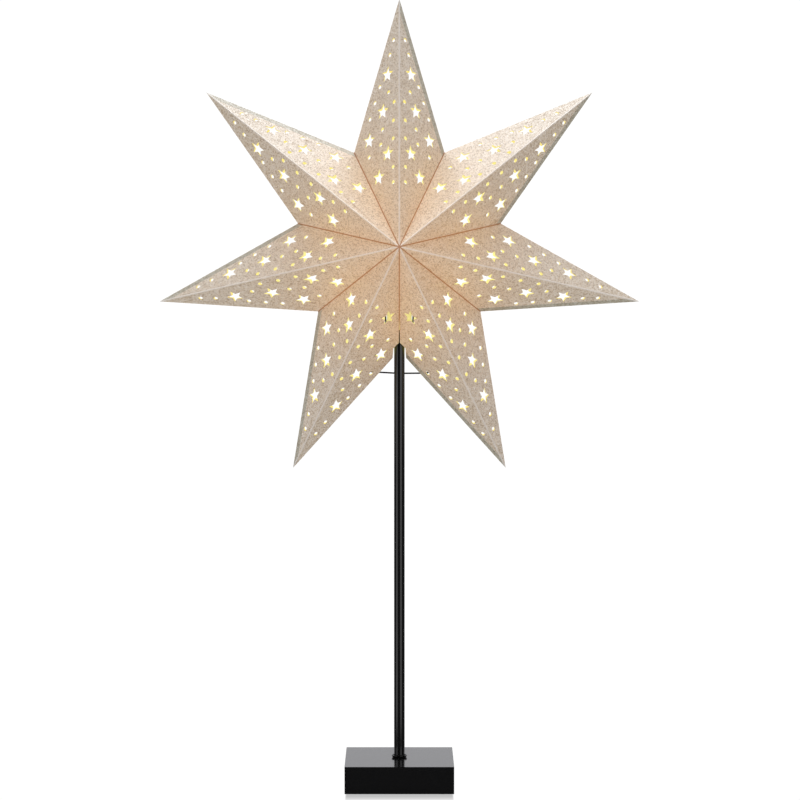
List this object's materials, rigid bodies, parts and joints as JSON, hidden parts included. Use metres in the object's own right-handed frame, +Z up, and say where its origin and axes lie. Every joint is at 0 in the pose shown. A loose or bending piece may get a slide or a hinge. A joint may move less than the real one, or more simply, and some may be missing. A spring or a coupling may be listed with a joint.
{
  "type": "paper star table lamp",
  "caption": "Lit table lamp with a folded and punched paper star on a slim stem above a square block base.",
  "frame": {"origin": "centre of the underside of the foot pads, below the stem", "axes": "+Z up along the stem, -Y out of the front of the star, +X to the viewer's right"},
  "size_m": [0.4504, 0.16, 0.7405],
  "materials": {
    "star_paper": "satin",
    "black_wire": "satin",
    "black_lacquer": "gloss",
    "black_enamel": "gloss",
    "pad_rubber": "matte",
    "weight_iron": "matte",
    "zinc_steel": "satin",
    "cover_board": "matte",
    "black_plastic": "matte",
    "lead_sheath": "matte",
    "holder_plastic": "gloss",
    "insert_ceramic": "matte",
    "brass_contact": "satin",
    "nickel_cap": "polished",
    "black_glass": "gloss",
    "solder": "satin",
    "clear_glass": "clear",
    "filament_glow": "matte"
  },
  "bodies": {
    "stand": {"base_block": "black_lacquer", "foot_pads": "pad_rubber", "base_weight": "weight_iron", "weight_screws": "zinc_steel", "base_cover": "cover_board", "cover_screws": "zinc_steel", "stem_tube": "black_enamel", "stem_collar": "black_enamel", "stem_washer": "zinc_steel", "stem_nut": "zinc_steel", "cord_gland": "black_plastic", "internal_lead": "lead_sheath", "holder_cap": "holder_plastic", "holder_lock_screw": "zinc_steel", "holder_sleeve": "holder_plastic", "holder_insert": "insert_ceramic", "screw_shell": "brass_contact", "centre_contact": "brass_contact", "terminal_screws": "brass_contact"},
    "star": {"star_point_1": "star_paper", "star_point_2": "star_paper", "star_point_3": "star_paper", "star_point_4": "star_paper", "star_point_5": "star_paper", "star_point_6": "star_paper", "star_point_7": "star_paper", "support_wire": "black_wire"},
    "bulb_tip": {"bulb_tip_contact": "solder"},
    "bulb": {"bulb_cap": "nickel_cap", "bulb_insulator": "black_glass", "bulb_glass": "clear_glass", "bulb_mount": "clear_glass", "bulb_filaments": "filament_glow", "filament_leads": "solder"}
  },
  "joints": [
    {"name": "star_swivel", "type": "hinge", "parent": "stand", "child": "star", "pos_m": [0, 0, 0.4515], "axis": [0, 0, 1], "continuous": true},
    {"name": "bulb_rise", "type": "slide", "parent": "stand", "child": "bulb_tip", "axis": [0, 0, 1], "range_m": [0, 0.00987]},
    {"name": "bulb_turn", "type": "hinge", "parent": "bulb_tip", "child": "bulb", "pos_m": [0, 0, 0.4649], "axis": [0, 0, 1], "range_deg": [0, 1260]}
  ],
  "couplings": [
    {"joint": "bulb_rise", "follows": "bulb_turn", "m_per_rad": 0.00044882}
  ]
}
